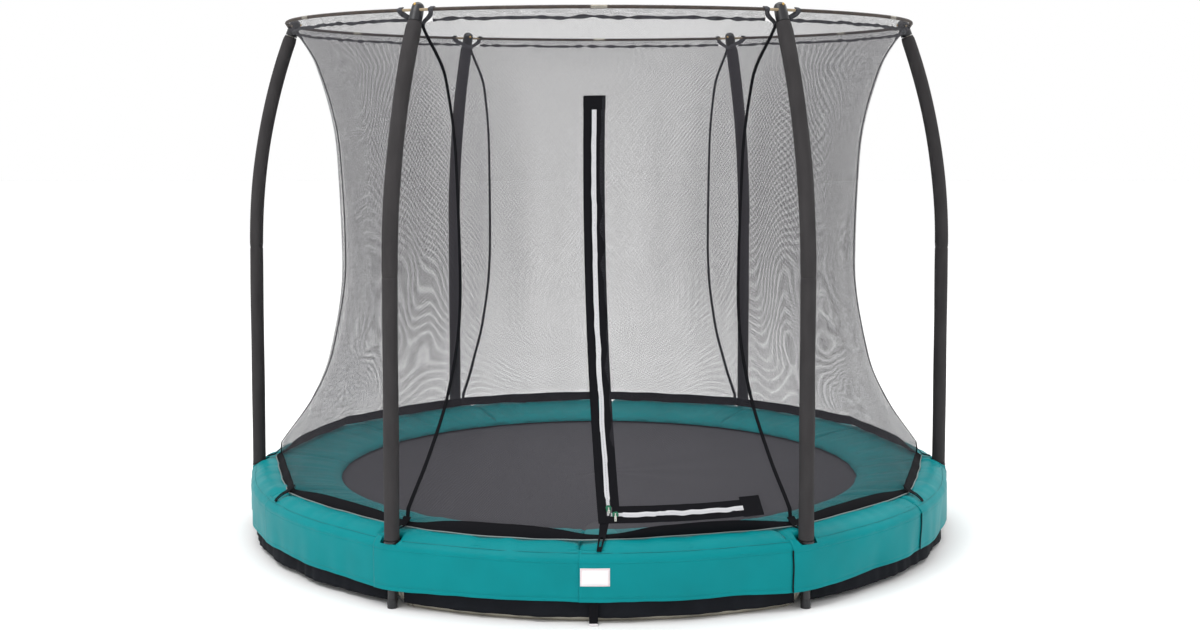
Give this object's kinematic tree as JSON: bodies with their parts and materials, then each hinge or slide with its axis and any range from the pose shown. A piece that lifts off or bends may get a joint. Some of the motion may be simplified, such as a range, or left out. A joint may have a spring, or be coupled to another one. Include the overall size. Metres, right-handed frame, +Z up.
{
  "type": "backyard trampoline",
  "caption": "Round in-ground garden trampoline with a padded rim, bent foam-sleeved poles and an hourglass safety net with a zipped door.",
  "frame": {"origin": "on the ground, at the centre of the circle of pole centres", "axes": "+Z up; -Y towards the side with the zipped door; +X to the right as seen from there"},
  "size_m": [2.611, 2.6084, 1.8729],
  "materials": {
    "galvanised_steel": "hot-dip galvanised, dull",
    "black_coated_steel": "powder coat, satin",
    "foam_sleeve_cover": "tight dark grey cover over foam",
    "black_plastic": "moulded, satin",
    "zinc_fastener": "zinc plated",
    "brass_bolt": "bright",
    "fibreglass": "pultruded rod, satin",
    "mat_weave": "woven polypropylene",
    "black_webbing": "woven tape, matt",
    "spring_steel": "zinc plated wire",
    "teal_pvc_pad": "soft PVC sheet over foam, satin",
    "white_label": "sewn label, blank",
    "skirt_fabric": "coated polyethylene cloth",
    "net_mesh": "open knitted mesh",
    "zip_coil": "moulded coil",
    "green_enamel": "enamelled zinc casting",
    "pull_metal": "plated"
  },
  "bodies": {
    "frame": {"base_tube_1": "galvanised_steel", "base_tube_2": "galvanised_steel", "base_tube_3": "galvanised_steel", "clamp_bolts": "zinc_fastener", "foam_sleeve_1": "foam_sleeve_cover", "foam_sleeve_2": "foam_sleeve_cover", "foam_sleeve_3": "foam_sleeve_cover", "foam_sleeve_4": "foam_sleeve_cover", "foam_sleeve_5": "foam_sleeve_cover", "foam_sleeve_6": "foam_sleeve_cover", "frame_skirt": "skirt_fabric", "hoop_rods": "fibreglass", "leg_screws": "zinc_fastener", "leg_tubes": "galvanised_steel", "net_border": "black_webbing", "net_pole_upper_1": "galvanised_steel", "net_pole_upper_2": "galvanised_steel", "net_pole_upper_3": "galvanised_steel", "net_pole_upper_4": "galvanised_steel", "net_pole_upper_5": "galvanised_steel", "net_pole_upper_6": "galvanised_steel", "net_poles_lower": "black_coated_steel", "net_top_hem": "net_mesh", "pad_label": "white_label", "pad_section_1": "teal_pvc_pad", "pad_section_2": "teal_pvc_pad", "pad_section_3": "teal_pvc_pad", "pad_section_4": "teal_pvc_pad", "pad_section_5": "teal_pvc_pad", "pad_section_6": "teal_pvc_pad", "pad_strap": "black_webbing", "pole_cap_bolts": "brass_bolt", "pole_caps": "black_plastic", "pole_clamps": "galvanised_steel", "pole_foot_caps": "black_plastic", "ring_joints": "galvanised_steel", "ring_tube_1": "galvanised_steel", "ring_tube_2": "galvanised_steel", "ring_tube_3": "galvanised_steel", "ring_tube_4": "galvanised_steel", "ring_tube_5": "galvanised_steel", "ring_tube_6": "galvanised_steel", "rod_ferrules": "galvanised_steel", "safety_net": "net_mesh", "seam_webbing": "black_webbing", "sleeve_end_rings": "black_plastic", "springs": "spring_steel", "tie_straps": "black_webbing", "zip_chain_fixed": "zip_coil", "zip_tape_fixed": "black_webbing"},
    "mat": {"jump_mat": "mat_weave", "mat_binding": "black_webbing", "mat_rings": "spring_steel"},
    "door": {"door_flap": "net_mesh", "zip_tape_door": "black_webbing", "zip_chain_door": "zip_coil"},
    "slider_vertical": {"zip_slider_vertical": "green_enamel"},
    "slider_horizontal": {"zip_slider_horizontal": "green_enamel"},
    "pull_vertical": {"zip_pull_vertical": "green_enamel"},
    "pull_horizontal": {"zip_pull_horizontal": "pull_metal"}
  },
  "joints": [
    {"name": "mat_bounce", "type": "slide", "parent": "frame", "child": "mat", "axis": [0, 0, 1], "range_m": [-0.15, 0], "stiffness_N_per_m": 4000, "springref_m": 0.03, "deforming": ["springs"]},
    {"name": "door_fold", "type": "hinge", "parent": "frame", "child": "door", "pos_m": [0.49992, -1.04342, 0.337], "axis": [-0.3581, 0.0346, 0.9331], "range_deg": [0, 95]},
    {"name": "slider_vertical_run", "type": "hinge", "parent": "frame", "child": "slider_vertical", "pos_m": [0.16403, -2.44395, 1.13779], "axis": [0.993, 0.1168, 0.0182], "range_deg": [0, 47.2]},
    {"name": "slider_horizontal_run", "type": "hinge", "parent": "frame", "child": "slider_horizontal", "pos_m": [0, 0, 0], "axis": [0, 0, 1], "range_deg": [0, 19.3]},
    {"name": "pull_vertical_swing", "type": "hinge", "parent": "slider_vertical", "child": "pull_vertical", "pos_m": [0.02919, -1.17184, 0.32805], "axis": [-0.993, -0.1168, -0.0182], "range_deg": [0, 150]},
    {"name": "pull_horizontal_swing", "type": "hinge", "parent": "slider_horizontal", "child": "pull_horizontal", "pos_m": [0.04975, -1.18121, 0.31231], "axis": [-0.9991, -0.0421, 0], "range_deg": [0, 150]}
  ],
  "couplings": [
    {"joint": "slider_vertical_run", "follows": "door_fold", "ratio": 0.49635},
    {"joint": "slider_horizontal_run", "follows": "door_fold", "ratio": 0.20295}
  ]
}
